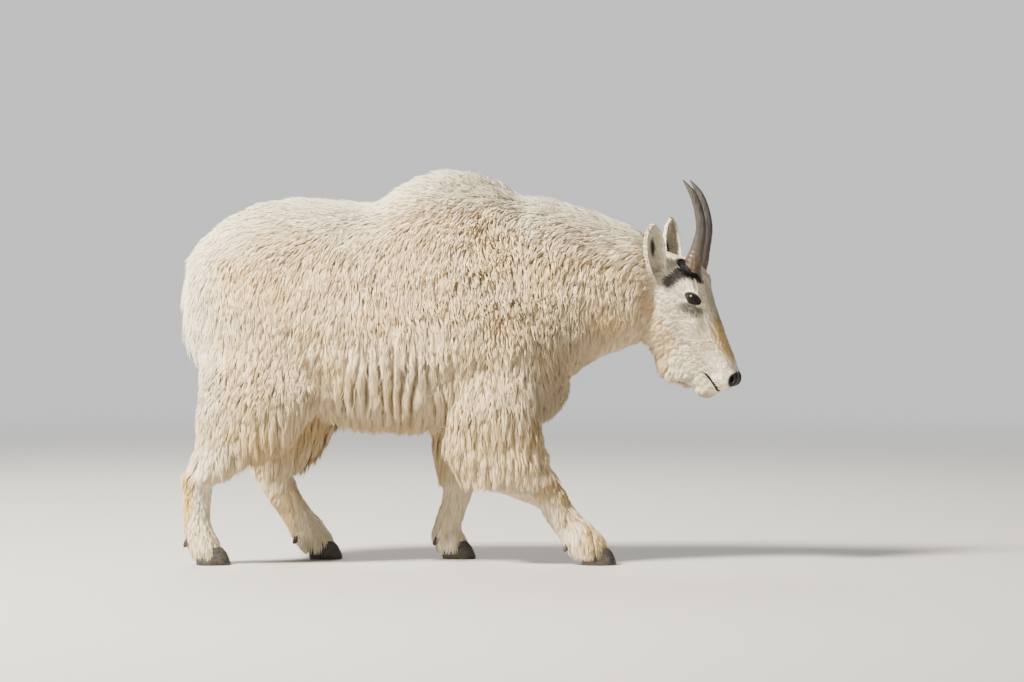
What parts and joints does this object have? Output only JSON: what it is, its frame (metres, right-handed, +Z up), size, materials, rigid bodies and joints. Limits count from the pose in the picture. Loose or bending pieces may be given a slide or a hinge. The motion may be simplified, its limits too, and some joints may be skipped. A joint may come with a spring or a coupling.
{
  "type": "mountain goat",
  "caption": "Life-size still model of an adult mountain goat walking with its head low, in short white summer wool with black horns and hooves.",
  "frame": {"origin": "on the floor, under the middle of the animal's bounding box", "axes": "+X the way the goat walks, +Y to its left, +Z up from the floor"},
  "size_m": [1.4164, 0.3814, 1.0041],
  "materials": {
    "coat": "matt woolly coat",
    "horn": "satin horn",
    "hoof": "dull hoof",
    "eye": "wet gloss"
  },
  "bodies": {
    "root": {"head": "coat", "neck": "coat", "torso": "coat", "tail": "coat", "upper_leg_hind_right": "coat", "lower_leg_hind_right": "coat", "upper_leg_hind_left": "coat", "lower_leg_hind_left": "coat", "upper_leg_front_right": "coat", "lower_leg_front_right": "coat", "upper_leg_front_left": "coat", "lower_leg_front_left": "coat", "ear_left": "coat", "horn_left": "horn", "eye_left": "eye", "ear_right": "coat", "horn_right": "horn", "eye_right": "eye", "hoof_hind_right_left": "hoof", "dewclaw_hind_right_left": "hoof", "hoof_hind_right_right": "hoof", "dewclaw_hind_right_right": "hoof", "hoof_hind_left_left": "hoof", "dewclaw_hind_left_left": "hoof", "hoof_hind_left_right": "hoof", "dewclaw_hind_left_right": "hoof", "hoof_front_right_left": "hoof", "dewclaw_front_right_left": "hoof", "hoof_front_right_right": "hoof", "dewclaw_front_right_right": "hoof", "hoof_front_left_left": "hoof", "dewclaw_front_left_left": "hoof", "hoof_front_left_right": "hoof", "dewclaw_front_left_right": "hoof"}
  },
  "joints": []
}
